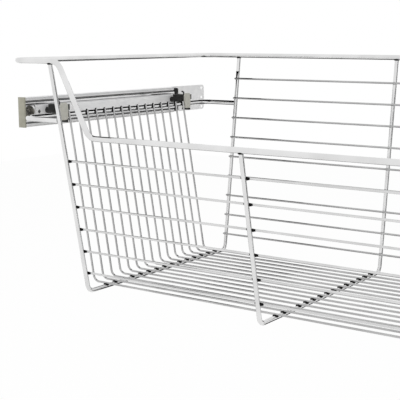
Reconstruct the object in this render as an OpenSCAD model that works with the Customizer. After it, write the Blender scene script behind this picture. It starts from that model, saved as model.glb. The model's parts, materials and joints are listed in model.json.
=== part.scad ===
// Pull-out wire basket for a kitchen cabinet, on a pair of full-extension
// ball-bearing slides. Millimetres, +Z up, +Y to the back of the cabinet.
// X = 0 is the basket's middle frame, Z = 0 the underside of the frames,
// and Y = 0 is half way between the front of the rim and the back of the slides.

/* [Basket] */
// Outside width over the rim
rim_width = 581; // [565:1:640]
// Depth over the rim, measured outside
rim_depth = 362; // [350:1:390]
// Height from the underside of the frames to the top of the rim
basket_height = 266; // [250:1:300]
// Thickness of the rim rod
rim_rod_d = 6; // [5:0.5:7]
// Bend radius of the rim's corners, seen from above
rim_corner_r = 14; // [12:1:20]
// Distance between neighbouring U-shaped frames
frame_spacing = 232; // [200:1:236]
// Thickness of the frame rods
frame_rod_d = 4.8; // [4:0.2:6]
// Bend radius of the frames' bottom corners
frame_bend_r = 9; // [8:0.5:12]
// How far the front leans out between the floor and the rim
front_lean = 51; // [40:1:60]
// How far the back leans out between the floor and the rim
back_lean = 34.5; // [28:0.5:42]

/* [Front dip] */
// Height of the lowered front rail's axis above the base
dip_height = 182; // [176:1:212]
// Distance from the end frame to where the rim starts to dip
dip_start = 11.3; // [11.3:0.1:20]
// Distance from the end frame to the low end of the dip
dip_end = 38.7; // [34:0.1:60]
// Bend radius of the dip
dip_bend_r = 12; // [8:0.5:12]

/* [Wires] */
// Thickness of the wires
wire_d = 2.4; // [2:0.1:3.2]
// Height of the lowest front and back wire above the base
wire_first = 24.3; // [20:0.1:28]
// Vertical distance between the front and back wires
wire_step = 26; // [22:0.5:27]
// Number of wires across the front
front_wire_count = 6; // [3:1:6]
// Number of wires across the back
back_wire_count = 9; // [4:1:9]
// How far the back wires reach past the axes of the end frames
back_wire_stub = 1; // [0.5:0.5:8]
// Number of wires across the floor, spread evenly between the front and rear clips
floor_wire_count = 15; // [8:1:17]
// Distance from the end frame out to the foot of the basket's side
side_foot = 18.1; // [14:0.1:22]
// Bend radius where the floor wires turn up the sides
side_bend_r = 8; // [6:1:12]
// Clear distance between the front clip and the first floor wire
front_wire_gap = 1.4; // [0.3:0.1:4]
// Clear distance between the last floor wire and the rear clip
rear_wire_gap = 2.3; // [0.3:0.1:6]

/* [Side rods] */
// Thickness of the rods along both sides that the clips hold
side_rod_d = 6; // [5:0.5:7]
// Height of the side rods' axis above the base
side_rod_height = 199.4; // [197:0.1:202]
// Bend radius of the side rods' corners
side_rod_bend_r = 14; // [10:1:20]
// How far the side rods' back ends sit behind the axes of the back uprights
side_rod_set_back = 3.4; // [3.2:0.1:4]

/* [Slides] */
// Length of the cabinet member of a slide
slide_length = 356; // [350:1:362]
// Length of the flat plate behind the channel of the cabinet member
plate_length = 78.3; // [72:0.1:79]
// Length of the rubber bumper at the end of the channel
bumper_length = 9.4; // [5:0.1:9.8]
// Height of a slide
slide_height = 34.6; // [34:0.1:38]
// Sheet thickness of the cabinet member
outer_sheet = 1.1; // [0.9:0.05:1.2]
// Sheet thickness of the middle and basket members
inner_sheet = 1; // [0.8:0.05:1.1]
// Sheet thickness of the ball cages
cage_sheet = 0.5; // [0.4:0.05:0.6]
// Height of the slides' centre line above the side rods' axis
slide_rise = 3.3; // [2:0.1:5]
// How far a slide's face stands off the side rod's axis
clip_reach = 24; // [22:0.5:30]
// Diameter of the bearing balls
ball_d = 2.8; // [2.4:0.1:3]
// Distance between balls in a row
ball_step = 12; // [8:0.5:16]
// How far the basket comes out
travel = 330; // [250:1:330]

/* [Slide holes] */
// Diameter of the screw holes
screw_hole_d = 4.5; // [3.5:0.1:5.5]
// Distance from the slide's front edge to the first screw hole
system_hole_front = 37; // [30:1:45]
// Distance between the screw holes along the slide
system_hole_step = 128; // [96:32:128]
// Distance between the holes in the plate at the back end
rear_hole_step = 13.2; // [9:0.1:13.4]

/* [Clips] */
// Distance from the slide's front edge to the centre of the front cradle
front_clip_place = 32.1; // [28:0.1:36]
// Distance from the basket member's back edge to the centre of the rear cradle
rear_clip_inset = 10.2; // [10.2:0.1:24]
// Length of a clip's cradle along the rod
cradle_length = 12; // [11:0.5:15]
// Height of a clip's cradle
cradle_height = 20; // [18:0.5:24]
// Thickness of the cradle's face plate
cradle_wall = 2; // [1.6:0.1:3]

/* [Hidden] */
$fn = 48;

// A welded rod is pressed this far into the one that it crosses
weld_sink = 0.1;
// The tube of a bend is this much thicker than its rod, and takes in the rod's end
bend_swell = 0.02;
bend_overlap = 0.3;
// A hole's cutter reaches this far past both faces
cut_margin = 1;
// The shapes of one piece reach this far into each other
join = 1;

// Radii and heights that the rods share
rim_r = rim_rod_d / 2;
frame_r = frame_rod_d / 2;
wire_r = wire_d / 2;
side_rod_r = side_rod_d / 2;
rim_z = basket_height - rim_r;
floor_z = frame_rod_d + wire_r - weld_sink;

// The slide's parts, measured from the cabinet wall (s) and from its centre line (h)
slide_centre = side_rod_height + slide_rise;
slide_half = slide_height / 2;
ball_r = ball_d / 2;
race_gap = 0.3;
race_r = ball_r + race_gap;
sheet_gap = 0.35;
lip_gap = 0.4;
outer_lip_s = 7.6;
outer_bend_r = race_r + outer_sheet;
outer_ball_s = outer_lip_s - outer_bend_r;
outer_ball_h = slide_half - outer_bend_r;
outer_cage_s = outer_sheet + sheet_gap;
middle_s = outer_cage_s + cage_sheet + sheet_gap;
middle_half = outer_ball_h - race_r;
middle_lip_s = outer_lip_s + 1.8;
middle_bend_r = race_r + inner_sheet;
inner_ball_s = middle_lip_s - middle_bend_r;
inner_ball_h = middle_half - middle_bend_r;
inner_cage_s = middle_s + inner_sheet + sheet_gap;
inner_half = inner_ball_h - race_r;
slide_thickness = middle_lip_s + 0.8;
inner_flange_s = inner_ball_s - 1.7;
inner_bend_r = 2.6;
lip_drop = 1.3;
web_bend_r = 0.8;
pocket_gap = 0.05;
pocket_mouth = 0.6;

// Depth: the rim's front and the slides' back end are equally far from Y = 0
cap_thickness = 2;
cap_gap = 0.3;
slide_front = 43.2;
overall_depth = slide_front + slide_length;
rim_front_y = -overall_depth / 2 + rim_r;
rim_back_y = rim_front_y + rim_depth - rim_rod_d;
slide_front_y = -overall_depth / 2 + slide_front;
foot_front_y = rim_front_y + front_lean;
foot_back_y = rim_back_y - back_lean;
front_slope = front_lean / (rim_z - frame_r);
back_slope = back_lean / (rim_z - frame_r);
front_lean_angle = atan(front_slope);
back_lean_angle = atan(back_slope);
function front_y(z) = foot_front_y - (z - frame_r) * front_slope;
function back_y(z) = foot_back_y + (z - frame_r) * back_slope;

// Width
rim_x = (rim_width - rim_rod_d) / 2;
side_rod_x = rim_x;
wall_x = side_rod_x + clip_reach + slide_thickness;
wire_offset = frame_r + wire_r - weld_sink;
wire_tip = 0.4;

// Lengths inside the slide: the cages stay between their members over the whole travel
channel_length = slide_length - plate_length;
middle_back = channel_length - 1.5;
inner_back = channel_length - 0.4;
middle_front = 0.5;
cage_inset = 7.5;
cage_spare = 10;
cage_front = travel / 4 + cage_inset;
cage_length = middle_back - travel / 2 - cage_inset - cage_spare;
cage_margin = 5;
plate_corner_r = 5;
rear_hole_inset = 5.8;
access_hole_d = 8.5;
bumper_gap = 0.3;
bumper_depth = 6.4;
bumper_half = slide_half - 1.8;
bumper_stem_d = 4.8;
bumper_corner_r = 2;
stem_start = 0.2;

// Clips
standoff = 5.5;
boss_d = 7;
body_length = 13;
body_lead = 2.3;
body_height = 14.5;
body_drop = 2.9;
body_bottom = side_rod_height - body_drop;
body_top = body_bottom + body_height;
bridge_gap = 2;
bridge_bottom = side_rod_height + side_rod_r + bridge_gap;
cradle_drop = 3.2;
cradle_bottom = side_rod_height - side_rod_r - cradle_drop;
ledge_depth = 5.9;
ledge_inset = 3;
ledge_lift = 0.4;
cradle_corner_r = 4;
rivet_d = 3.2;
rivet_head_d = 5.5;
rivet_head = 1.2;
rivet_grip = 7;
rivet_step = 6;
rivet_z = slide_centre + 1;
fit_gap = 0.1;
seat_gap = 0.05;
foot_length = 3;
foot_height = 2.6;
foot_tip = 0.4;
foot_root = 4;
peg_d = 4;
peg_length = 5;
hook_d = 1.8;
hook_bend_r = 2.2;
hook_arm = 3.2;
hook_rise = 3;
hook_inset = 0.9;

// ---------------------------------------------------------------- helpers

function unit(v) = v / norm(v);

// A straight round rod between two points
module rod(p, q, d) {
    run = q - p;
    translate(p)
        rotate([0, acos(run.z / norm(run)), atan2(run.y, run.x)])
            cylinder(h = norm(run), d = d);
}

// The round bend at corner b, between the corners a and c
module bend(a, b, c, r, d) {
    to_a = unit(a - b);
    to_c = unit(c - b);
    turn = 180 - acos(to_a * to_c);
    centre = b + unit(to_a + to_c) * r / cos(turn / 2);
    e1 = unit(b + to_a * r * tan(turn / 2) - centre);
    e2 = -to_a;
    e3 = cross(e1, e2);
    multmatrix([
        [e1.x, e2.x, e3.x, centre.x],
        [e1.y, e2.y, e3.y, centre.y],
        [e1.z, e2.z, e3.z, centre.z],
        [0, 0, 0, 1]
    ])
        rotate_extrude(angle = turn)
            translate([r, 0])
                circle(d = d + 2 * bend_swell);
}

// How much of a straight the bend at corner b takes
function bend_take(a, b, c, r) =
    r * tan((180 - acos(unit(a - b) * unit(c - b))) / 2) - bend_overlap;

// An open rod through the points, bent with radius r at each inner one
module bent_rod(p, r, d) {
    last = len(p) - 1;
    for (i = [0 : last - 1]) {
        way = unit(p[i + 1] - p[i]);
        start = i == 0 ? 0 : bend_take(p[i - 1], p[i], p[i + 1], r);
        end = i == last - 1 ? 0 : bend_take(p[i], p[i + 1], p[i + 2], r);
        rod(p[i] + way * start, p[i + 1] - way * end, d);
    }
    for (i = [1 : last - 1])
        bend(p[i - 1], p[i], p[i + 1], r, d);
}

// A closed rod through the points, with one bend radius for each
module closed_rod(p, r, d) {
    n = len(p);
    for (i = [0 : n - 1]) {
        before = p[(i + n - 1) % n];
        here = p[i];
        next = p[(i + 1) % n];
        after = p[(i + 2) % n];
        way = unit(next - here);
        rod(here + way * bend_take(before, here, next, r[i]),
            next - way * bend_take(here, next, after, r[(i + 1) % n]), d);
        bend(before, here, next, r[i], d);
    }
}

// side is -1 for the left and 1 for the right; the shape is drawn on the left
module on_side(side) {
    mirror([side > 0 ? 1 : 0, 0, 0]) children();
}

function arc(cx, cy, r, from, to, steps = 5) =
    [for (i = [0 : steps]) [cx + r * cos(from + (to - from) * i / steps),
                            cy + r * sin(from + (to - from) * i / steps)]];
function mirrored(p) = [for (i = [len(p) - 1 : -1 : 0]) [p[i].x, -p[i].y]];

// A rolled C: a web at s = 0, two flanges, and lips that curl round the balls
function lipped_profile(width, half, sheet, bend_r, lip) =
    let (corner = web_bend_r + sheet,
         top = concat(
            arc(corner, half - corner, corner, 180, 90),
            arc(width - bend_r, half - bend_r, bend_r, 90, 0),
            [[width, lip], [width - sheet, lip]],
            arc(width - bend_r, half - bend_r, bend_r - sheet, 0, 90),
            arc(corner, half - corner, web_bend_r, 90, 180)))
    concat(top, mirrored(top));

// A plain channel with its web at s = 0
function channel_profile(width, half, sheet, bend_r) =
    let (top = concat(
            arc(bend_r, half - bend_r, bend_r, 180, 90),
            [[width, half], [width, half - sheet]],
            arc(bend_r, half - bend_r, bend_r - sheet, 90, 180)))
    concat(top, mirrored(top));

// Runs a profile along a slide, s from the wall and h up from the centre line
module along_slide(front, length, profile) {
    translate([-wall_x, slide_front_y + front + length, slide_centre])
        rotate([90, 0, 0])
            linear_extrude(height = length)
                polygon(profile);
}

// A point in a slide, from the wall, from the front edge, from the centre line
function slide_point(s, y, h) = [-wall_x + s, slide_front_y + y, slide_centre + h];

// A round bar across a slide, used for holes and screws
module across(s, y, h, d, length) {
    translate(slide_point(s, y, h))
        rotate([0, 90, 0])
            cylinder(h = length, d = d);
}

// A flat plate in the Y-Z plane with four round corners
module rounded_plate(thickness, length, height, corner_r) {
    translate([0, corner_r, 0])
        cube([thickness, length - 2 * corner_r, height]);
    translate([0, 0, corner_r])
        cube([thickness, length, height - 2 * corner_r]);
    for (y = [corner_r, length - corner_r], z = [corner_r, height - corner_r])
        translate([0, y, z])
            rotate([0, 90, 0])
                cylinder(h = thickness, r = corner_r);
}

// ---------------------------------------------------------------- basket

module rim_rod() {
    dip_y = front_y(dip_height);
    ear_x = frame_spacing - dip_start;
    low_x = frame_spacing - dip_end;
    left = [
        [-rim_x, rim_back_y, rim_z],
        [-rim_x, rim_front_y, rim_z],
        [-ear_x, rim_front_y, rim_z],
        [-low_x, dip_y, dip_height]
    ];
    radii = [rim_corner_r, rim_corner_r, dip_bend_r, dip_bend_r];
    color("gainsboro")
        closed_rod(
            concat(left, [for (i = [3 : -1 : 0]) [-left[i].x, left[i].y, left[i].z]]),
            concat(radii, [for (i = [3 : -1 : 0]) radii[i]]),
            rim_rod_d);
}

// The rods above end a little inside the one that they are welded under
module frame(x, front_top, front_rod_r) {
    front_end = front_top - (front_rod_r - 2 * weld_sink) * cos(front_lean_angle);
    back_end = rim_z - (rim_r - 2 * weld_sink) * cos(back_lean_angle);
    color("gainsboro")
        bent_rod([
            [x, front_y(front_end), front_end],
            [x, foot_front_y, frame_r],
            [x, foot_back_y, frame_r],
            [x, back_y(back_end), back_end]
        ], frame_bend_r, frame_rod_d);
}
module frame_left() frame(-frame_spacing, rim_z, rim_r);
module frame_middle() frame(0, dip_height, rim_r);
module frame_right() frame(frame_spacing, rim_z, rim_r);

module front_wires() {
    half = frame_spacing + frame_r;
    color("silver")
        for (i = [0 : front_wire_count - 1]) {
            z = wire_first + i * wire_step;
            y = front_y(z) + wire_offset / cos(front_lean_angle);
            rod([-half, y, z], [half, y, z], wire_d);
        }
}

module back_wires() {
    half = frame_spacing + back_wire_stub;
    color("silver")
        for (i = [0 : back_wire_count - 1]) {
            z = wire_first + i * wire_step;
            y = back_y(z) - wire_offset / cos(back_lean_angle);
            rod([-half, y, z], [half, y, z], wire_d);
        }
}

// Each floor wire turns up at both ends and leans against the inside of the side rods
module floor_wires() {
    first_y = clip_y(-1) + cradle_length / 2 + front_wire_gap + wire_r;
    last_y = clip_y(1) - cradle_length / 2 - rear_wire_gap - wire_r;
    foot_x = frame_spacing + side_foot;
    to_rod = [side_rod_x - foot_x, side_rod_height - floor_z];
    reach = side_rod_r + wire_r - weld_sink;
    rise = atan2(to_rod.y, to_rod.x) + asin(reach / norm(to_rod));
    tip_z = side_rod_height + side_rod_r + wire_tip;
    tip_x = foot_x + (tip_z - floor_z) / tan(rise);
    color("silver")
        for (i = [0 : floor_wire_count - 1]) {
            y = first_y + i * (last_y - first_y) / (floor_wire_count - 1);
            bent_rod([
                [-tip_x, y, tip_z],
                [-foot_x, y, floor_z],
                [foot_x, y, floor_z],
                [tip_x, y, tip_z]
            ], side_bend_r, wire_d);
        }
}

// Both ends meet the sides of the uprights, the back end a little behind its upright's axis
module side_rod(side) {
    front_run_y = front_y(side_rod_height);
    back_run_y = back_y(side_rod_height) + side_rod_set_back;
    end_x = frame_spacing + frame_r - 2 * weld_sink;
    color("gainsboro")
        on_side(side)
            bent_rod([
                [-end_x, front_run_y, side_rod_height],
                [-side_rod_x, front_run_y, side_rod_height],
                [-side_rod_x, back_run_y, side_rod_height],
                [-end_x, back_run_y, side_rod_height]
            ], side_rod_bend_r, side_rod_d);
}

// ---------------------------------------------------------------- clips

cradle_back_x = -side_rod_x + side_rod_r + seat_gap;
function clip_y(end) =
    slide_front_y + (end < 0 ? front_clip_place : inner_back - rear_clip_inset);
function body_y(end) = clip_y(end) - body_lead;
function rivet_y(end, i) = body_y(end) + body_length / 2 + (i - 0.5) * rivet_step;
peg_z = (bridge_bottom + body_top) / 2;
function peg_y(end) = clip_y(end) + cradle_length / 4;

// The black block stands off the slide, reaches over the rod, and has a foot under it
module clip_body(side, end) {
    y = body_y(end);
    face_x = -wall_x + slide_thickness;
    block_x = face_x + standoff;
    block_end_x = -side_rod_x - side_rod_r - fit_gap;
    foot_y = clip_y(end) + cradle_length / 2 - foot_length;
    foot_bottom = cradle_bottom - fit_gap - foot_height;
    color([0.09, 0.09, 0.09])
        on_side(side)
            difference() {
                union() {
                    translate([block_x, y, body_bottom])
                        cube([block_end_x - block_x, body_length, body_top - body_bottom]);
                    translate([block_x, y, bridge_bottom])
                        cube([cradle_back_x - block_x, body_length, body_top - bridge_bottom]);
                    for (i = [0, 1])
                        translate([face_x, rivet_y(end, i), rivet_z])
                            rotate([0, 90, 0])
                                cylinder(h = standoff + join, d = boss_d);
                    translate([block_end_x - foot_root, foot_y, foot_bottom])
                        cube([foot_root, foot_length, body_bottom + join - foot_bottom]);
                    translate([block_end_x - foot_root, foot_y, foot_bottom])
                        cube([cradle_back_x + cradle_wall - foot_tip - block_end_x + foot_root,
                            foot_length, foot_height]);
                }
                for (i = [0, 1])
                    translate([face_x - cut_margin, rivet_y(end, i), rivet_z])
                        rotate([0, 90, 0])
                            cylinder(h = cut_margin + standoff + rivet_grip + fit_gap,
                                d = rivet_d + fit_gap);
                translate([cradle_back_x - peg_length - fit_gap, peg_y(end), peg_z])
                    rotate([0, 90, 0])
                        cylinder(h = peg_length + cut_margin, d = peg_d + fit_gap);
            }
}

// The pale cradle: a face plate, a ledge that the rod lies on, and a peg into the block
module clip_cradle(side, end) {
    y = clip_y(end) - cradle_length / 2;
    ledge_top = side_rod_height - side_rod_r;
    color([0.72, 0.71, 0.67])
        on_side(side) {
            translate([cradle_back_x, y, cradle_bottom])
                rounded_plate(cradle_wall, cradle_length, cradle_height, cradle_corner_r);
            translate([cradle_back_x - ledge_depth, y + ledge_inset, cradle_bottom + ledge_lift])
                cube([ledge_depth + join, cradle_length - 2 * ledge_inset,
                    ledge_top - cradle_bottom - ledge_lift]);
            translate([cradle_back_x - peg_length, peg_y(end), peg_z])
                rotate([0, 90, 0])
                    cylinder(h = peg_length + join, d = peg_d);
        }
}

// Two rivets hold each block to the basket member of its slide
module clip_rivets() {
    head_s = slide_thickness - inner_sheet - rivet_head;
    shank = rivet_head + inner_sheet + standoff + rivet_grip;
    color("darkgray")
        for (side = [-1, 1], end = [-1, 1], i = [0, 1])
            on_side(side)
                translate([-wall_x + head_s, rivet_y(end, i), rivet_z])
                    rotate([0, 90, 0]) {
                        cylinder(h = rivet_head, d = rivet_head_d);
                        cylinder(h = shank, d = rivet_d);
                    }
}

// A short wire hook stands on the rod behind each face plate and bends back over its top edge
module clip_hooks() {
    x = cradle_back_x - hook_d / 2 - seat_gap;
    top = cradle_bottom + cradle_height + hook_rise;
    color("dimgray")
        for (side = [-1, 1], end = [-1, 1])
            on_side(side)
                translate([0, clip_y(end) - cradle_length / 2 + hook_inset, 0])
                    bent_rod([
                        [x, 0, side_rod_height + side_rod_r + fit_gap],
                        [x, 0, top - hook_d / 2],
                        [x - hook_arm, 0, top - hook_d / 2]
                    ], hook_bend_r, hook_d);
}

// ---------------------------------------------------------------- slides

hole_places = [for (i = [0 : 2]) system_hole_front + i * system_hole_step];

// Screwed to the cabinet: a lipped channel that ends in a flat plate
module outer_member(side) {
    cut_depth = outer_sheet + 2 * cut_margin;
    color("lightgray")
        on_side(side)
            difference() {
                union() {
                    along_slide(0, channel_length,
                        lipped_profile(outer_lip_s, slide_half, outer_sheet,
                            outer_bend_r, outer_ball_h - lip_drop));
                    difference() {
                        translate(slide_point(0, channel_length - plate_corner_r, -slide_half))
                            rounded_plate(outer_sheet, plate_length + plate_corner_r,
                                slide_height, plate_corner_r);
                        translate(slide_point(-cut_margin, channel_length - 2 * plate_corner_r,
                                -slide_half - cut_margin))
                            cube([cut_depth, 2 * plate_corner_r, slide_height + 2 * cut_margin]);
                    }
                }
                for (y = hole_places)
                    across(-cut_margin, y, 0, screw_hole_d, cut_depth);
                for (h = [-1, 0, 1])
                    across(-cut_margin, slide_length - rear_hole_inset, h * rear_hole_step,
                        screw_hole_d, cut_depth);
                across(-cut_margin, bumper_place, 0, bumper_stem_d + fit_gap, cut_depth);
            }
}
bumper_place = channel_length + bumper_gap + bumper_length / 2;

// Rubber stop behind the moving members, held by a stem in the plate
module bumper(side) {
    color([0.1, 0.1, 0.1])
        on_side(side) {
            translate(slide_point(outer_sheet, bumper_place - bumper_length / 2, -bumper_half))
                rounded_plate(bumper_depth, bumper_length, 2 * bumper_half, bumper_corner_r);
            across(stem_start, bumper_place, 0, bumper_stem_d, outer_sheet + join);
        }
}

// Runs on both rows of balls, half as far as the basket
module middle_member(side) {
    color("lightgray")
        on_side(side)
            difference() {
                translate([middle_s, 0, 0])
                    along_slide(middle_front, middle_back - middle_front,
                        lipped_profile(middle_lip_s - middle_s, middle_half, inner_sheet,
                            middle_bend_r, inner_ball_h - lip_drop));
                for (y = hole_places)
                    across(middle_s - cut_margin, y, 0, access_hole_d, inner_sheet + 2 * cut_margin);
            }
}

// Runs the basket member's channel along a slide, its web at s = top
module inner_channel(front, length, top) {
    profile = channel_profile(top - inner_flange_s, inner_half, inner_sheet, inner_bend_r);
    along_slide(front, length,
        [for (i = [len(profile) - 1 : -1 : 0]) [top - profile[i].x, profile[i].y]]);
}

// Carries the clips; its web faces the basket, and its front end is pressed in for the cap's screw
module inner_member(side) {
    web_s = slide_thickness - joggle_depth - inner_sheet - cut_margin;
    web_depth = joggle_depth + inner_sheet + 2 * cut_margin;
    color("lightgray")
        on_side(side)
            difference() {
                union() {
                    inner_channel(0, joggle_length, slide_thickness - joggle_depth);
                    inner_channel(joggle_length, inner_back - joggle_length, slide_thickness);
                    translate(slide_point(web_s + cut_margin, joggle_length - inner_sheet / 2, -plug_half))
                        cube([joggle_depth + inner_sheet, inner_sheet, 2 * plug_half]);
                }
                across(web_s, screw_place, 0, cap_screw_d + fit_gap, web_depth);
                across(web_s, inner_hole_place, 0, screw_hole_d, web_depth);
                for (end = [-1, 1], i = [0, 1])
                    translate([-wall_x + web_s, rivet_y(end, i), rivet_z])
                        rotate([0, 90, 0])
                            cylinder(h = web_depth, d = rivet_d + fit_gap);
            }
}

// A thin channel that keeps two rows of balls apart, open at the pockets' sides
module cage(side, s, front, length, half, ball_s) {
    color("tan")
        on_side(side)
            difference() {
                translate([s, 0, 0])
                    along_slide(front, length,
                        channel_profile(ball_s + pocket_mouth - s, half, cage_sheet, web_bend_r));
                for (y = ball_places(front, length), row = [-1, 1])
                    translate(slide_point(ball_s, y, row * (half - cage_sheet / 2) - cage_sheet))
                        cylinder(h = 2 * cage_sheet, r = ball_r + pocket_gap);
            }
}
function ball_places(front, length) =
    let (count = floor((length - 2 * cage_margin) / ball_step),
         first = front + (length - count * ball_step) / 2)
    [for (i = [0 : count]) first + i * ball_step];

module balls(side, front, length, ball_s, ball_h) {
    color("whitesmoke")
        on_side(side)
            for (y = ball_places(front, length), row = [-1, 1])
                translate(slide_point(ball_s, y, row * ball_h))
                    sphere(r = ball_r);
}
module outer_cage(side)
    cage(side, outer_cage_s, cage_front, cage_length,
        outer_ball_h + cage_sheet / 2, outer_ball_s);
module inner_cage(side)
    cage(side, inner_cage_s, cage_front, cage_length,
        inner_ball_h + cage_sheet / 2, inner_ball_s);
module outer_balls(side)
    balls(side, cage_front, cage_length, outer_ball_s, outer_ball_h);
module inner_balls(side)
    balls(side, cage_front, cage_length, inner_ball_s, inner_ball_h);

// ---------------------------------------------------------------- end caps

screw_place = 7.3;
inner_hole_place = 20.9;
joggle_depth = 2.4;
joggle_length = 15.4;
cap_screw_d = 4;
cap_screw_head_d = 15;
cap_screw_head = 1.6;
cap_screw_edge = 0.3;
recess_long = 7;
recess_wide = 1.5;
recess_depth = 1;
plug_length = 13;
plug_depth = 2.8;
plug_half = inner_half - inner_bend_r;

// Closes the front of the slide, and is plugged into the basket member
module end_cap(side) {
    plug_s = slide_thickness - joggle_depth - inner_sheet - plug_depth;
    color([0.63, 0.62, 0.56])
        on_side(side)
            difference() {
                union() {
                    translate(slide_point(0, -cap_gap - cap_thickness, -slide_half))
                        cube([slide_thickness, cap_thickness, slide_height]);
                    translate(slide_point(plug_s, -cap_gap - join, -plug_half))
                        cube([plug_depth, plug_length + cap_gap + join, 2 * plug_half]);
                }
                across(plug_s - cut_margin, screw_place, 0, cap_screw_d + fit_gap,
                    plug_depth + 2 * cut_margin);
            }
}

// A cross-head screw with a low domed head holds each end cap
module cap_screws() {
    dome = cap_screw_head - cap_screw_edge;
    dome_r = (pow(cap_screw_head_d / 2, 2) + pow(dome, 2)) / (2 * dome);
    dome_angle = asin(cap_screw_head_d / 2 / dome_r);
    shank = plug_depth + inner_sheet;
    color("gray")
        for (side = [-1, 1])
            on_side(side)
                translate(slide_point(slide_thickness - joggle_depth, screw_place, 0))
                    difference() {
                        rotate([0, 90, 0]) {
                            rotate_extrude()
                                polygon(concat([[0, 0], [cap_screw_head_d / 2, 0]],
                                    arc(0, cap_screw_head - dome_r, dome_r, 90 - dome_angle, 90)));
                            translate([0, 0, -shank])
                                cylinder(h = shank + 0.5, d = cap_screw_d);
                        }
                        for (arm = [[recess_long, recess_wide], [recess_wide, recess_long]])
                            translate([cap_screw_head - recess_depth, -arm.x / 2, -arm.y / 2])
                                cube([cap_screw_head, arm.x, arm.y]);
                    }
}

rim_rod();
frame_left();
frame_middle();
frame_right();
front_wires();
back_wires();
floor_wires();
side_rod(-1);  // side_rod_left
side_rod(1);  // side_rod_right
clip_body(-1, -1);  // clip_body_front_left
clip_body(-1, 1);  // clip_body_rear_left
clip_body(1, -1);  // clip_body_front_right
clip_body(1, 1);  // clip_body_rear_right
clip_cradle(-1, -1);  // clip_cradle_front_left
clip_cradle(-1, 1);  // clip_cradle_rear_left
clip_cradle(1, -1);  // clip_cradle_front_right
clip_cradle(1, 1);  // clip_cradle_rear_right
clip_rivets();
clip_hooks();
outer_member(-1);  // outer_member_left
outer_member(1);  // outer_member_right
bumper(-1);  // bumper_left
bumper(1);  // bumper_right
middle_member(-1);  // middle_member_left
middle_member(1);  // middle_member_right
inner_member(-1);  // inner_member_left
inner_member(1);  // inner_member_right
outer_cage(-1);  // outer_cage_left
outer_cage(1);  // outer_cage_right
inner_cage(-1);  // inner_cage_left
inner_cage(1);  // inner_cage_right
outer_balls(-1);  // outer_balls_left
outer_balls(1);  // outer_balls_right
inner_balls(-1);  // inner_balls_left
inner_balls(1);  // inner_balls_right
end_cap(-1);  // end_cap_left
end_cap(1);  // end_cap_right
cap_screws();
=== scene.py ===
# %% [markdown]
# # A chrome wire basket on ball-bearing slides
#
# This lesson dresses a pull-out cabinet basket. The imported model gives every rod, slide member and
# clip at its real size. Here each of them gets the surface that it has in a kitchen cabinet, the
# wires get their weld beads, and the moulded pieces get the soft edges that a mould leaves.

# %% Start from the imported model
import json
from math import atan2, cos, degrees, pi, radians, sin

import bpy
import numpy as np
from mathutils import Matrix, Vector


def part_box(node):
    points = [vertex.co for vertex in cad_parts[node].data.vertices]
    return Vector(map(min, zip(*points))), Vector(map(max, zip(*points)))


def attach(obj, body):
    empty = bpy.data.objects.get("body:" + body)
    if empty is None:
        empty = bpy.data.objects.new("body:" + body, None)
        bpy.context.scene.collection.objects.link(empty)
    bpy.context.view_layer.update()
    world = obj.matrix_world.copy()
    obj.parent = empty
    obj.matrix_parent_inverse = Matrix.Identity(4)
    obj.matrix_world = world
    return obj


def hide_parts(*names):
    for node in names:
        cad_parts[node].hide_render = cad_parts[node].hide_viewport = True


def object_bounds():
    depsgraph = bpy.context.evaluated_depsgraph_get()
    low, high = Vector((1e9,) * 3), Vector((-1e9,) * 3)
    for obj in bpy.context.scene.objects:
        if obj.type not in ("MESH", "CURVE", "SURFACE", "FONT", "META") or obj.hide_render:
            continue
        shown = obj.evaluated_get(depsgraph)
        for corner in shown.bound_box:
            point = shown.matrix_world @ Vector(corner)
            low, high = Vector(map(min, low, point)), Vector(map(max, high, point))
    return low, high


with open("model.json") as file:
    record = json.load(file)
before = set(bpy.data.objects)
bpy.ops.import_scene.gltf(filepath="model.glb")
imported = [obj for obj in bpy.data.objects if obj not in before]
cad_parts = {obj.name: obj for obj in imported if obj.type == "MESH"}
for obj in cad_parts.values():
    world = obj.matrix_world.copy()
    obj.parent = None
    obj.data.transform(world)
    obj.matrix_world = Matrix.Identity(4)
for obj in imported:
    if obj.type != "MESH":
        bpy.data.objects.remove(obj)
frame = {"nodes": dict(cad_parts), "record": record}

cad_low, cad_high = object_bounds()
nodes = frame["nodes"]
bpy.ops.object.select_all(action="DESELECT")
MM = 0.001
print("CAD box", [round(v / MM, 1) for v in cad_high - cad_low], "mm")

# %% [markdown]
# The camera stands in front of the basket, to its right, and looks to the left and a little down,
# so the left slide shows beside the rim. It is a plain perspective camera with a small shift,
# which keeps the basket's right half outside the frame as in a cropped catalogue picture.

# %% Camera
look_down = 9.391
turned_left = 34.282
bpy.ops.object.camera_add(
    location=(0.5173, -0.9473, 0.2892),
    rotation=(radians(90 - look_down), 0, radians(turned_left)),
)
camera = bpy.context.object
camera.name = "camera"
camera.data.sensor_width = 36
camera.data.lens = 88.31
camera.data.shift_x = -0.09
camera.data.shift_y = -0.005
bpy.context.scene.camera = camera
print("camera", round(camera.data.lens, 1), "mm lens, turned", turned_left, "degrees")

# %% [markdown]
# Colours are written as the sRGB hex values that a paint chart or a photo editor shows. Blender
# mixes light in linear values, so one function turns each of them.

# %% Colours and one helper for nodes
def colour(hex_value):
    """A linear colour from an sRGB hex value such as "#A0A0A0"."""
    def linear(c):
        return c / 12.92 if c <= 0.04045 else ((c + 0.055) / 1.055) ** 2.4
    return tuple(linear(int(hex_value[i:i + 2], 16) / 255) for i in (1, 3, 5)) + (1.0,)


def add_node(tree, kind, links=None, **settings):
    """Adds one node, sets its sockets and properties, and links its inputs."""
    node = tree.nodes.new(kind)
    for name, value in settings.items():
        if name in node.inputs:
            node.inputs[name].default_value = value
        else:
            setattr(node, name, value)
    for name, source in (links or {}).items():
        tree.links.new(source, node.inputs[name])
    return node


print("middle grey is linear", round(colour("#808080")[0], 3))

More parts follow.
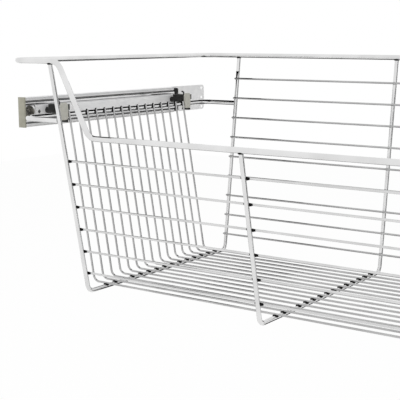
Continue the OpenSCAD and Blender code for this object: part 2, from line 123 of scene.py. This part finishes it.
# %% [markdown]
# The light is a plain white studio: a pale floor and a white surround that the camera and the
# chrome both see. Chrome has no colour of its own, so what it mirrors is its look. The world is
# white to the camera and to mirrored rays, and a little dimmer for the light that it gives.

# %% World
view = bpy.context.scene.view_settings
view.view_transform = "Standard"
light_strength, seen_strength = 0.75, 1.0


def seen_rays(tree):
    """1 for the rays that show a background: straight from the camera, mirrored or through glass."""
    path = add_node(tree, "ShaderNodeLightPath")
    mirrored = add_node(tree, "ShaderNodeMath",
                        {0: path.outputs["Is Camera Ray"], 1: path.outputs["Is Glossy Ray"]},
                        operation="MAXIMUM")
    return add_node(tree, "ShaderNodeMath",
                    {0: mirrored.outputs[0], 1: path.outputs["Is Transmission Ray"]},
                    operation="MAXIMUM").outputs[0]


world = bpy.data.worlds.new("studio")
bpy.context.scene.world = world
world.use_nodes = True
tree = world.node_tree
tree.nodes.clear()
strength = add_node(tree, "ShaderNodeMapRange", {"Value": seen_rays(tree)},
                    **{"To Min": light_strength, "To Max": seen_strength})
background = add_node(tree, "ShaderNodeBackground", {"Strength": strength.outputs[0]},
                      Color=(1, 1, 1, 1))
add_node(tree, "ShaderNodeOutputWorld", {"Surface": background.outputs[0]})
print("world ready, view transform", view.view_transform)

# %% [markdown]
# The floor lies well below the basket, which hangs on its slides. It is white to the camera, and
# a share of plain matt surface in it keeps the basket's faint shadow.

# %% Floor
floor_z = -0.30
floor_width = 6
matt_share = 0.05
bpy.ops.mesh.primitive_plane_add(size=floor_width, location=(0, 0, floor_z))
floor = bpy.context.object
floor.name = "floor"

pale_floor = bpy.data.materials.new("pale_floor")
pale_floor.use_nodes = True
tree = pale_floor.node_tree
tree.nodes.clear()
matt = add_node(tree, "ShaderNodeBsdfDiffuse", Color=colour("#F4F4F2"))
white = add_node(tree, "ShaderNodeEmission", Color=(1, 1, 1, 1), Strength=1.0)
white_share = add_node(tree, "ShaderNodeMath", {0: seen_rays(tree)}, operation="MULTIPLY")
white_share.inputs[1].default_value = 1 - matt_share
surface = add_node(tree, "ShaderNodeMixShader",
                   {"Fac": white_share.outputs[0], 1: matt.outputs[0], 2: white.outputs[0]})
add_node(tree, "ShaderNodeOutputMaterial", {"Surface": surface.outputs[0]})
floor.data.materials.append(pale_floor)
print("floor", round((cad_low[2] - floor_z) / MM), "mm below the basket's lowest rod")

# %% [markdown]
# In an all-white room chrome looks like white paint. A product photographer stands black cards
# just outside the picture, and each rod mirrors them as a thin dark line. These cards show only
# in mirrored rays, so they take no light away and never stand in the picture. A card is dark on
# the side that faces the basket and clear from behind, so what lies past it keeps its white.

# %% One card
def card(name, centre, size, aim, hex_value="#000000"):
    """A card of that width and height that faces a place."""
    bpy.ops.mesh.primitive_plane_add(size=1, location=centre)
    piece = bpy.context.object
    piece.name = name
    piece.scale = (size[0], size[1], 1)
    piece.rotation_euler = (Vector(aim) - Vector(centre)).to_track_quat("Z", "Y").to_euler()
    piece.visible_camera = False
    piece.visible_diffuse = False
    piece.visible_transmission = False
    piece.visible_shadow = False
    material = bpy.data.materials.new(name)
    material.use_nodes = True
    tree = material.node_tree
    tree.nodes.clear()
    paint = add_node(tree, "ShaderNodeEmission", Color=colour(hex_value), Strength=1.0)
    clear = add_node(tree, "ShaderNodeBsdfTransparent")
    geometry = add_node(tree, "ShaderNodeNewGeometry")
    surface = add_node(tree, "ShaderNodeMixShader", {"Fac": geometry.outputs["Backfacing"],
                                                     1: paint.outputs[0], 2: clear.outputs[0]})
    add_node(tree, "ShaderNodeOutputMaterial", {"Surface": surface.outputs[0]})
    piece.data.materials.append(material)
    print(name, "at", [round(v, 2) for v in piece.location])


# %% [markdown]
# Each card draws one kind of line. The back card darkens one edge of the rods that run across the
# basket, and the low card, which lies flat below and behind it, darkens their undersides. The
# right card darkens the right edges of the upright rods. A narrow card close above each side rod
# darkens that rod's top and the wires' ends.

# %% The cards' places
basket_middle = Vector((-0.1, 0, 0.12))
card_distance = 1.5


def towards(azimuth, elevation):
    """The point at the cards' distance in that direction, in degrees, from the basket's middle."""
    flat = card_distance * cos(radians(elevation))
    return basket_middle + Vector((flat * cos(radians(azimuth)), flat * sin(radians(azimuth)),
                                   card_distance * sin(radians(elevation))))


card("back_card", towards(92, -8), (1.1, 0.8), basket_middle, "#101010")
card("right_card", towards(24, -5), (1.05, 0.9), basket_middle, "#181818")
low_x, low_y, low_z = -0.40, 0.44, -0.20
card("low_card", (low_x, low_y, low_z), (1.2, 0.72), (low_x, low_y, 0), "#303030")
shade_x, shade_y, shade_z = 0.262, 0.02, 0.242
for side in (-1, 1):
    card("shade_card", (side * shade_x, shade_y, shade_z), (0.10, 0.42),
         (side * shade_x, shade_y, 0))

# %% [markdown]
# Two large soft lamps add a little form to the matt pieces. The surround gives most of the light,
# so they stay weak and the pale plastic keeps the colour that it is given. Mirrored rays miss
# them, or every level rod would show them as white bands.

# %% Lamps
def softbox(name, location, aim, size, watts):
    """A large square lamp that points at a place."""
    bpy.ops.object.light_add(type="AREA", location=location)
    lamp = bpy.context.object
    lamp.name = name
    lamp.data.shape = "SQUARE"
    lamp.data.size = size
    lamp.data.energy = watts
    lamp.visible_glossy = False
    lamp.rotation_euler = (Vector(aim) - Vector(location)).to_track_quat("-Z", "Y").to_euler()
    print(name, watts, "W")


middle = (cad_low + cad_high) / 2
softbox("key_light", (-1.2, -1.2, 2.0), middle, size=1.2, watts=18)
softbox("fill_light", (1.6, -0.6, 1.2), middle, size=1.5, watts=6)

# %% [markdown]
# Every finish starts the same way: a named material with its shader, and the Object coordinates
# that its patterns read. These coordinates are in metres, so a pattern of a given size in
# millimetres repeats 1000 / size times a metre.

# %% A start for every finish
def per_metre(size_mm):
    """How often a pattern of that size repeats in a metre."""
    return 1 / (size_mm * MM)


def start_finish(name):
    """A material, its node tree, its shader and its coordinates."""
    material = bpy.data.materials.new(name)
    material.use_nodes = True
    tree = material.node_tree
    place = add_node(tree, "ShaderNodeTexCoord").outputs["Object"]
    return material, tree, tree.nodes["Principled BSDF"], place


print("a 10 mm pattern repeats", round(per_metre(10)), "times a metre")

# %% [markdown]
# Three small helpers draw all the patterns: patches of colour, a pattern spread over a range such
# as a roughness, and relief. Blender's noise seldom leaves the values from 0.35 to 0.65, so the
# two colours of a patch stand at these.

# %% Patches, ranges and relief
noise_low, noise_high = 0.35, 0.65


def blotches(tree, vector, size_mm, low, high, detail=3.0):
    """Soft random patches of that size, in colours from low to high."""
    noise = add_node(tree, "ShaderNodeTexNoise", {"Vector": vector},
                     Scale=per_metre(size_mm), Detail=detail)
    ramp = add_node(tree, "ShaderNodeValToRGB", {"Fac": noise.outputs["Fac"]})
    stops = zip(ramp.color_ramp.elements, (noise_low, noise_high), (low, high))
    for stop, position, value in stops:
        stop.position = position
        stop.color = colour(value)
    return ramp.outputs["Color"]


def spread(tree, source, low, high):
    """Turns a pattern's 0 to 1 into low to high."""
    return add_node(tree, "ShaderNodeMapRange", {"Value": source},
                    **{"To Min": low, "To Max": high}).outputs[0]


def relief(tree, shader, height, depth_mm, strength):
    """Raises and lowers the surface by a pattern, as seen by the light."""
    bump = add_node(tree, "ShaderNodeBump", {"Height": height}, Strength=strength,
                    Distance=depth_mm * MM)
    tree.links.new(bump.outputs["Normal"], shader.inputs["Normal"])


print("patch colours stand at noise", noise_low, "and", noise_high)

# %% [markdown]
# The basket is mild steel rod, bent, welded, then nickel and chrome plated. The plate follows the
# drawn steel under it, so it is a mirror with a faint ripple along the rod, and it is a little
# hazy in patches. Thick rods are polished before plating. The thin wires are not, so their plate
# is greyer. The front wires read a little brighter than those behind, so they get a paler copy of
# the same plate, which is painted light.

# %% Chrome plate
tone_mm, haze_mm = 35, 12


def chrome_plate(name, low, high, ripple_mm, roughness):
    """Mirror plate over drawn steel."""
    material, tree, shader, place = start_finish(name)
    shader.inputs["Metallic"].default_value = 1.0
    tree.links.new(blotches(tree, place, tone_mm, low, high), shader.inputs["Base Color"])
    haze = add_node(tree, "ShaderNodeTexNoise", {"Vector": place},
                    Scale=per_metre(haze_mm), Detail=4.0)
    tree.links.new(spread(tree, haze.outputs["Fac"], roughness * 0.5, roughness * 1.5),
                   shader.inputs["Roughness"])
    ripple = add_node(tree, "ShaderNodeTexNoise", {"Vector": place},
                      Scale=per_metre(ripple_mm), Detail=1.0)
    relief(tree, shader, ripple.outputs["Fac"], depth_mm=0.05, strength=0.15)
    return material


finishes = {
    "chrome_rod": chrome_plate("chrome_plate", "#DADADA", "#E6E6E6",
                               ripple_mm=8, roughness=0.10),
    "chrome_wire": chrome_plate("chrome_plated_wire", "#AEAEAE", "#BEBEBE",
                                ripple_mm=5, roughness=0.12),
}
# Painted light: the same wire plate in a paler colour, so that the front wires read brighter.
front_plate_painted_light = chrome_plate("chrome_wire_painted_lighter", "#D0D0D0", "#DCDCDC",
                                ripple_mm=5, roughness=0.12)
print("chrome finishes", len(finishes) + 1)

# %% [markdown]
# The slides are cold-rolled strip with a zinc plate. Zinc crystals are rougher than chrome's, so
# the sheet shows the room as a soft pale grey and not as a picture, and the rolling leaves faint
# lines along the slide. Anisotropy could draw them too, but noise that is stretched along the
# slide, here fifty times as long as wide, keeps their real size. The plate's passivation film is
# clear and dull, so part of the light comes back as from paint, which a metallic value below 1
# gives.

# %% Rolled metal
line_mm, line_stretch = 0.5, 1 / 50


def rolled_metal(name, low, high, roughness, metallic, patch_mm=9.0, specular=0.5):
    """Strip or wire with rolling lines along the slide."""
    material, tree, shader, place = start_finish(name)
    shader.inputs["Metallic"].default_value = metallic
    shader.inputs["Specular IOR Level"].default_value = specular
    tree.links.new(blotches(tree, place, patch_mm, low, high), shader.inputs["Base Color"])
    along = add_node(tree, "ShaderNodeMapping", {"Vector": place}, Scale=(1, line_stretch, 1))
    lines = add_node(tree, "ShaderNodeTexNoise", {"Vector": along.outputs["Vector"]},
                     Scale=per_metre(line_mm), Detail=2.0)
    tree.links.new(spread(tree, lines.outputs["Fac"], roughness * 0.7, roughness * 1.3),
                   shader.inputs["Roughness"])
    relief(tree, shader, lines.outputs["Fac"], depth_mm=0.01, strength=0.15)
    return material


print("rolling lines", line_mm, "mm wide and about", round(line_mm / line_stretch), "mm long")

# %% [markdown]
# Each slide is three strips inside each other, and they don't shine alike. The cabinet member and
# the basket member's broad web read as flat pale grey. The basket member gets the same zinc with a
# little less shine and a paler colour, which is painted light. The middle member shows only its
# rolled lips, which the forming rollers have burnished, so they mirror the room crisply.

# %% The slides' strips
finishes["zinc_steel"] = rolled_metal("zinc_plated_sheet", "#E6E6E7", "#EEEEEE",
                                      roughness=0.34, metallic=0.3)
# Partly painted light: the lower shine is a finish, and the paler colour stands for light.
web_strip_painted_light = rolled_metal("zinc_web_strip_painted_lighter", "#F6F6F7", "#FCFCFC",
                          roughness=0.36, metallic=0.2)
bright_strip = rolled_metal("bright_zinc_plated_strip", "#D4D4D5", "#DEDEDE",
                            roughness=0.12, metallic=0.9)
print("strips of one slide: cabinet, basket and middle member")

# %% [markdown]
# The small steel parts follow. Ball cages are stamped strip with a film of oil, the balls are
# ground and polished, rivets are zinc plated, the cap screws are worn and mottled, and the clips'
# hooks are spring wire, blackened against rust.

# %% Small steel parts
finishes["cage_steel"] = rolled_metal("oiled_strip", "#A8A69E", "#C0BEB8",
                                      roughness=0.35, metallic=0.8, patch_mm=4.0)
finishes["ball_steel"] = rolled_metal("bearing_steel", "#DADADC", "#E4E4E6",
                                      roughness=0.06, metallic=1.0, patch_mm=6.0)
finishes["rivet_steel"] = rolled_metal("zinc_plated_rivet", "#A8A8A8", "#C8C8C8",
                                       roughness=0.35, metallic=0.8, patch_mm=1.5)
finishes["screw_steel"] = rolled_metal("worn_screw_steel", "#3C3B39", "#9A978E",
                                       roughness=0.45, metallic=0.6, patch_mm=1.6)
finishes["dark_spring_steel"] = rolled_metal("blackened_wire", "#1A1A1A", "#2C2C2C",
                                             roughness=0.4, metallic=0.5, patch_mm=2.0)
print("finishes so far", len(finishes))

# %% [markdown]
# A weld bead is plated like the wires, but it is too small to show the room, and it sits in the
# shade between a wire and a rod. Most beads read as nearly black dots, so their colour is painted
# shade: nearly black, dull and with almost no shine. Those at the back read grey, so they keep a
# plated shine over a darker grey, which is painted shade as well.

# %% Weld beads' metal, painted dark for their shade
# Painted shade: the plated beads are coloured nearly black for the dark corner that they sit in.
bead_metal_black_shade = rolled_metal("bead_metal_painted_black_shade", "#020202", "#0C0C0C",
                          roughness=0.6, metallic=0.0, patch_mm=1.2, specular=0.15)
# Painted shade, lighter: the back beads are coloured a darker grey than the wire plate.
back_bead_metal_grey_shade = rolled_metal("plated_bead_metal_painted_grey_shade", "#303030", "#606060",
                               roughness=0.35, metallic=0.7, patch_mm=1.2)
print("weld finishes", bead_metal_black_shade.name, back_bead_metal_grey_shade.name)

# %% [markdown]
# The clips, caps and stops are injection moulded: nylon, acetal, ABS and rubber. A spark-eroded
# mould leaves a fine grain, about half a millimetre wide, which breaks up the shine. It is drawn
# slightly coarser than on the real parts, so that it shows.

# %% Moulded plastic and rubber
tint_mm, uneven = 5, 0.08


def moulded(name, low, high, roughness, grain_mm, grain_depth_mm):
    """Plastic or rubber from a textured mould."""
    material, tree, shader, place = start_finish(name)
    tree.links.new(blotches(tree, place, tint_mm, low, high, detail=5.0),
                   shader.inputs["Base Color"])
    grain = add_node(tree, "ShaderNodeTexNoise", {"Vector": place},
                     Scale=per_metre(grain_mm), Detail=2.0)
    tree.links.new(spread(tree, grain.outputs["Fac"], roughness - uneven, roughness + uneven),
                   shader.inputs["Roughness"])
    relief(tree, shader, grain.outputs["Fac"], grain_depth_mm, strength=0.5)
    return material


finishes["black_rubber"] = moulded("moulded_rubber", "#161616", "#1E1E1E",
                                   roughness=0.65, grain_mm=0.8, grain_depth_mm=0.03)
finishes["black_plastic"] = moulded("black_nylon", "#0C0C0C", "#161614",
                                    roughness=0.45, grain_mm=0.6, grain_depth_mm=0.02)
finishes["pale_plastic"] = moulded("pale_acetal", "#B2B1A8", "#BCBBB3",
                                   roughness=0.42, grain_mm=0.7, grain_depth_mm=0.02)
finishes["taupe_plastic"] = moulded("taupe_abs", "#9C9A8C", "#A4A294",
                                    roughness=0.45, grain_mm=0.7, grain_depth_mm=0.02)
print("finishes", sorted(finishes))

# %% [markdown]
# The imported record names a finish for each piece. Three groups get one of their own instead,
# because they look different from their neighbours of the same metal: the front wires, whose
# paler plate is painted light, the basket members, whose paler zinc is partly painted light, and
# the middle members.

# %% Every imported piece gets its finish
record = frame["record"]
slot_of = {part["node"]: part["material_slot"] for part in record["subparts"]}
body_of = {node: body for body, members in record["behaviour"]["bodies"].items()
           for node in members}
for name, node in nodes.items():
    node.data.materials.clear()
    node.data.materials.append(finishes[slot_of[name]])
# Painted light: the front wires get the paler copy of the wire plate.
nodes["front_wires"].data.materials[0] = front_plate_painted_light
# Partly painted light: the basket members get the paler zinc, and the middle members get burnished
# lips.
for side in ("left", "right"):
    nodes["inner_member_" + side].data.materials[0] = web_strip_painted_light
    nodes["middle_member_" + side].data.materials[0] = bright_strip
print("finishes on", len(nodes), "packed pieces")

# %% [markdown]
# The wires are spot welded to the rods and then plated. Each weld squeezes out a small saddle of
# metal: above it follows the wire, below it follows the rod. Relief in a material could hint at
# it, but a bead stands out from the wire's outline, so it is a real shape. It is made once from a
# small sphere, with few faces, because more than a hundred copies are needed. Its places are
# measured on the wires themselves.

# %% One weld bead
along_wire, along_rod = (1.2, 0.8, 1), (0.8, 1.2, 1)
equator_band = 0.1
bpy.ops.mesh.primitive_ico_sphere_add(subdivisions=2, radius=1)
bead = bpy.context.object
bead.name = "weld_bead"
for half, stretch in ((1, along_wire), (-1, along_rod)):
    bpy.ops.object.mode_set(mode="EDIT")
    bpy.ops.mesh.select_all(action="DESELECT")
    bpy.ops.object.mode_set(mode="OBJECT")
    for vertex in bead.data.vertices:
        vertex.select = vertex.co.z * half > equator_band
    bpy.ops.object.mode_set(mode="EDIT")
    bpy.ops.transform.resize(value=stretch)
    bpy.ops.object.mode_set(mode="OBJECT")
print("bead faces", len(bead.data.polygons))

# %% [markdown]
# Each group of welds becomes one piece. The copies are turned and sized at their places and
# joined, and then their places go into the mesh, so the piece stands at the origin as every packed
# piece does.

# %% Copies of the bead, joined to one piece
def weld_beads(name, places, size_mm, turns, metal):
    """Beads of that half size at the places; local X runs along the wire and Z out of the rod."""
    bpy.ops.object.select_all(action="DESELECT")
    for place, turn in zip(places, turns):
        copy = bead.copy()
        copy.data = bead.data.copy()
        bpy.context.collection.objects.link(copy)
        copy.location = place
        copy.rotation_euler = turn
        copy.scale = [s * MM for s in size_mm]
        copy.select_set(True)
    bpy.context.view_layer.objects.active = copy
    bpy.ops.object.join()
    bpy.ops.object.transform_apply(location=True, rotation=True, scale=True)
    bpy.ops.object.shade_smooth()
    piece = bpy.context.object
    piece.name = name
    piece.data.materials.clear()
    piece.data.materials.append(metal)
    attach(piece, "basket")
    print(name, len(places), "beads")


# %% [markdown]
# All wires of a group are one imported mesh. Sorted along the axis in which they follow each other,
# its points jump from one wire to the next, and each jump starts a new wire.

# %% Where the wires run
wire_jump = 5 * MM
Y, Z = 1, 2


def wire_middles(name, axis):
    """The middle of each wire of a node, told apart by its place along one axis."""
    mesh = nodes[name].data
    points = np.empty(len(mesh.vertices) * 3)
    mesh.vertices.foreach_get("co", points)
    points = points.reshape(-1, 3)
    points = points[np.argsort(points[:, axis])]
    wires = np.split(points, np.nonzero(np.diff(points[:, axis]) > wire_jump)[0] + 1)
    return [(wire.min(axis=0) + wire.max(axis=0)) / 2 for wire in wires]


frame_names = ("frame_left", "frame_middle", "frame_right")
frame_x = [(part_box(name)[0][0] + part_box(name)[1][0]) / 2 for name in frame_names]
print("frames at x", [round(x / MM, 1) for x in frame_x], "mm")

# %% [markdown]
# Front and back lean outwards, so their beads lean with them. The lean is measured from the lowest
# to the highest wire, and each bead moves from the wire's middle a little towards the rod.

# %% Welds on the front and the back
rod_side = 0.8 * MM
# The front beads get the nearly black painted shade, and the back beads get the grey one.
for name, inward, size_mm, metal in (("front", 1, (6.4, 1.9, 1.8), bead_metal_black_shade),
                                     ("back", -1, (2.6, 1.6, 1.7), back_bead_metal_grey_shade)):
    wires = wire_middles(name + "_wires", Z)
    lean = atan2(wires[-1][Y] - wires[0][Y], wires[-1][Z] - wires[0][Z])
    turn = (-inward * (pi / 2 + inward * lean), 0, 0)
    away = Vector((0, inward * cos(lean), -inward * sin(lean)))
    print(name, "leans", round(degrees(lean), 2), "degrees")
    places = [Vector((x, wire[Y], wire[Z])) - away * rod_side for wire in wires for x in frame_x]
    weld_beads(name + "_welds", places, size_mm, [turn] * len(places), metal)

# %% [markdown]
# The floor wires lie across the frames' bottom rods. A bead's middle lies a little below the top
# of the rod, so that it fills the corner between the two.

# %% Welds on the floor
frame_rod = 4.8 * MM
sunk = 0.9 * MM
upright = (0, 0, 0)
rod_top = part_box("frame_middle")[0][Z] + frame_rod
floor_y = [wire[Y] for wire in wire_middles("floor_wires", Y)]
places = [(x, y, rod_top - sunk) for y in floor_y for x in frame_x]
weld_beads("floor_welds", places, (3.4, 3.2, 2.5), [upright] * len(places), bead_metal_black_shade)

# %% [markdown]
# The frames' ends are welded under the rim and, at the front of the middle one, under the dip. The
# last millimetre and a half of each end gives the bead's place.

# %% Welds under the rim and the dipped rail
end_length = 1.5 * MM


def rod_end(name, side):
    """The middle of a frame's top end, at the front (-1) or the back (1)."""
    mesh = nodes[name].data
    points = [v.co for v in mesh.vertices if v.co.y * side > 0]
    top = max(p.z for p in points)
    ring = [p for p in points if p.z > top - end_length]
    return sum(ring, Vector()) / len(ring)


ends = [rod_end(name, side) for name in frame_names for side in (-1, 1)]
weld_beads("rim_welds", ends, (3.9, 2.9, 1.7), [upright] * len(ends), bead_metal_black_shade)

# %% [markdown]
# The floor wires turn up at both sides and lean against the inside of the side rods. They lean out
# by 9.8 degrees, so they touch the rod's round section that much above its widest point.

# %% Welds on the side rods
wire_lean = 9.8
rise = radians(90 - wire_lean)
places, turns = [], []
for side, name in ((-1, "side_rod_left"), (1, "side_rod_right")):
    low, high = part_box(name)
    rod_r = (high[Z] - low[Z]) / 2
    rod_x = (low[0] + rod_r) if side < 0 else (high[0] - rod_r)
    touch_x = rod_x - side * rod_r * sin(rise)
    touch_z = low[Z] + rod_r + rod_r * cos(rise)
    for y in floor_y:
        places.append((touch_x, y, touch_z))
        turns.append((0, -side * rise, 0))
weld_beads("side_welds", places, (4.0, 2.6, 1.3), turns, bead_metal_black_shade)

bpy.data.objects.remove(bead)

# %% [markdown]
# Nothing that comes out of a mould has knife edges: the tool itself has small radii, so that the
# piece fills and lets go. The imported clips, caps and stops have sharp edges, so a copy of each
# gets narrow rounded ones with the Bevel modifier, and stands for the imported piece. A Bevel node
# in the material would soften the light on an edge, but the mesh would keep it sharp. A packed
# mesh is loose triangles, so its doubles are merged and its flat faces made whole first.
# Otherwise every triangle would get an edge of its own.

# %% Soft edges on one moulded piece
edge_width = 0.4 * MM
same_point = 0.002 * MM
flat_within, edge_from, smooth_below = radians(2), radians(40), radians(30)


def soften(name):
    """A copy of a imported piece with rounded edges, which stands for it."""
    piece = nodes[name].copy()
    piece.data = nodes[name].data.copy()
    piece.name = name + "_moulded"
    piece.parent = None
    bpy.context.collection.objects.link(piece)
    bpy.ops.object.select_all(action="DESELECT")
    piece.select_set(True)
    bpy.context.view_layer.objects.active = piece
    bpy.ops.mesh.customdata_custom_splitnormals_clear()
    bpy.ops.object.mode_set(mode="EDIT")
    bpy.ops.mesh.select_all(action="SELECT")
    bpy.ops.mesh.remove_doubles(threshold=same_point)
    bpy.ops.mesh.dissolve_limited(angle_limit=flat_within)
    bpy.ops.object.mode_set(mode="OBJECT")
    bevel = piece.modifiers.new("mould_radius", "BEVEL")
    bevel.width = edge_width
    bevel.segments = 2
    bevel.limit_method = "ANGLE"
    bevel.angle_limit = edge_from
    bpy.ops.object.modifier_apply(modifier=bevel.name)
    bpy.ops.object.shade_smooth_by_angle(angle=smooth_below)
    piece.data.materials.clear()
    piece.data.materials.append(finishes[slot_of[name]])
    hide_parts(name)
    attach(piece, body_of[name])
    print(piece.name, len(piece.data.polygons), "faces")


# %% Soft edges on all of them
moulded_slots = ("black_plastic", "pale_plastic", "taupe_plastic", "black_rubber")
for name in sorted(node for node, slot in slot_of.items() if slot in moulded_slots):
    soften(name)
